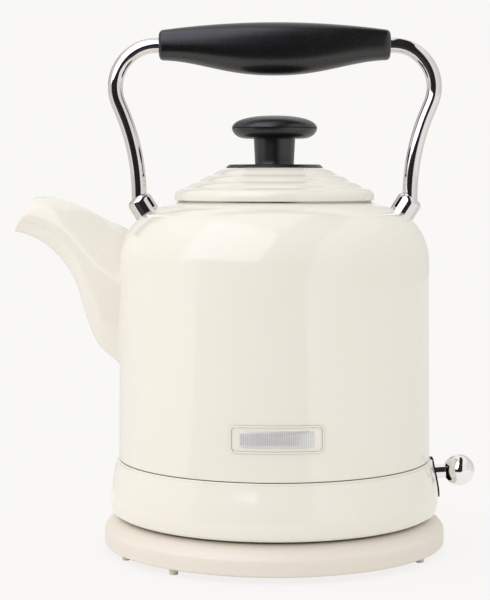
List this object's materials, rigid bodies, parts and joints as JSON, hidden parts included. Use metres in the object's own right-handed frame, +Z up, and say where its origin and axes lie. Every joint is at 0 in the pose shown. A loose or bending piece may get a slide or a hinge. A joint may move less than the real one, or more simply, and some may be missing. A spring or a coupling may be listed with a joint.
{
  "type": "electric kettle",
  "caption": "Round cream electric kettle on a power base, with a curved spout, an arched handle with a black grip, a lift-off lid with a knob, and a rocking switch lever.",
  "frame": {"origin": "on the body's vertical axis, on the surface that the power base stands on", "axes": "+Z up along the body's axis; -X towards the spout, +X towards the switch lever; +Y towards the cord inlet at the back"},
  "size_m": [0.2452, 0.1816, 0.2785],
  "materials": {
    "cream_enamel": "glossy cream enamel",
    "cream_plastic": "smooth matte cream plastic",
    "chrome": "polished chrome plate",
    "black_plastic": "satin black plastic",
    "grey_plastic": "moulded dark grey plastic",
    "steel": "satin stainless steel",
    "aluminium": "cast aluminium",
    "brass": "bare brass",
    "rubber": "grey silicone rubber",
    "ivory_plastic": "moulded natural plastic"
  },
  "bodies": {
    "power_base": {"base_cover": "cream_plastic", "base_underside": "grey_plastic", "base_foot_ring": "rubber", "base_rim_feet": "cream_plastic", "base_screws": "steel", "base_socket": "black_plastic", "base_live_contact": "brass", "base_neutral_contact": "brass", "base_earth_contact": "brass", "cord_gland": "grey_plastic"},
    "lid": {"lid_shell": "cream_enamel", "lid_liner": "steel", "lid_seal": "rubber", "knob_plate": "black_plastic", "knob_body": "black_plastic", "knob_cap": "black_plastic", "knob_screw": "steel", "knob_washer": "steel"},
    "filter": {"filter_frame": "grey_plastic", "filter_mesh": "steel"},
    "switch_lever": {"lever_hub": "black_plastic", "lever_rod": "chrome", "lever_ball": "chrome"},
    "rocker": {"trip_rocker": "ivory_plastic"},
    "kettle": {"body_shell": "cream_enamel", "spout": "cream_enamel", "vessel_floor": "steel", "floor_seal": "rubber", "floor_posts": "steel", "heat_plate": "aluminium", "heating_element": "steel", "bimetal_discs": "brass", "control_housing": "black_plastic", "control_screws": "steel", "kettle_live_ring": "brass", "kettle_neutral_ring": "brass", "kettle_earth_pin": "brass", "trip_pin": "steel", "trip_spring": "steel", "lever_bracket": "black_plastic", "lever_pin": "steel", "steam_tube": "steel", "steam_tube_seal": "rubber", "skirt": "cream_enamel", "underside_cover": "grey_plastic", "underside_screws": "steel", "switch_plate": "black_plastic", "spout_side_arm": "chrome", "lever_side_arm": "chrome", "spout_side_collar": "chrome", "lever_side_collar": "chrome", "handle_grip": "black_plastic", "handle_bolts": "steel", "handle_nuts": "steel", "handle_seals": "rubber"}
  },
  "joints": [
    {"name": "kettle_lift", "type": "slide", "parent": "power_base", "child": "kettle", "axis": [0, 0, 1], "range_m": [0, 0.06]},
    {"name": "lid_lift", "type": "slide", "parent": "kettle", "child": "lid", "axis": [0, 0, 1], "range_m": [0, 0.02]},
    {"name": "filter_pull", "type": "slide", "parent": "kettle", "child": "filter", "axis": [1, 0, 0], "range_m": [0, 0.03]},
    {"name": "lever_rock", "type": "hinge", "parent": "kettle", "child": "switch_lever", "pos_m": [0.066, 0, 0.0387], "axis": [0, 1, 0], "range_deg": [0, 16]},
    {"name": "trip_rock", "type": "hinge", "parent": "kettle", "child": "rocker", "pos_m": [0.0455, 0, 0.0402], "axis": [0, 1, 0], "range_deg": [-12.6, 0.1], "deforming": ["trip_spring"]}
  ],
  "couplings": [
    {"joint": "trip_rock", "follows": "lever_rock", "ratio": -0.78}
  ]
}
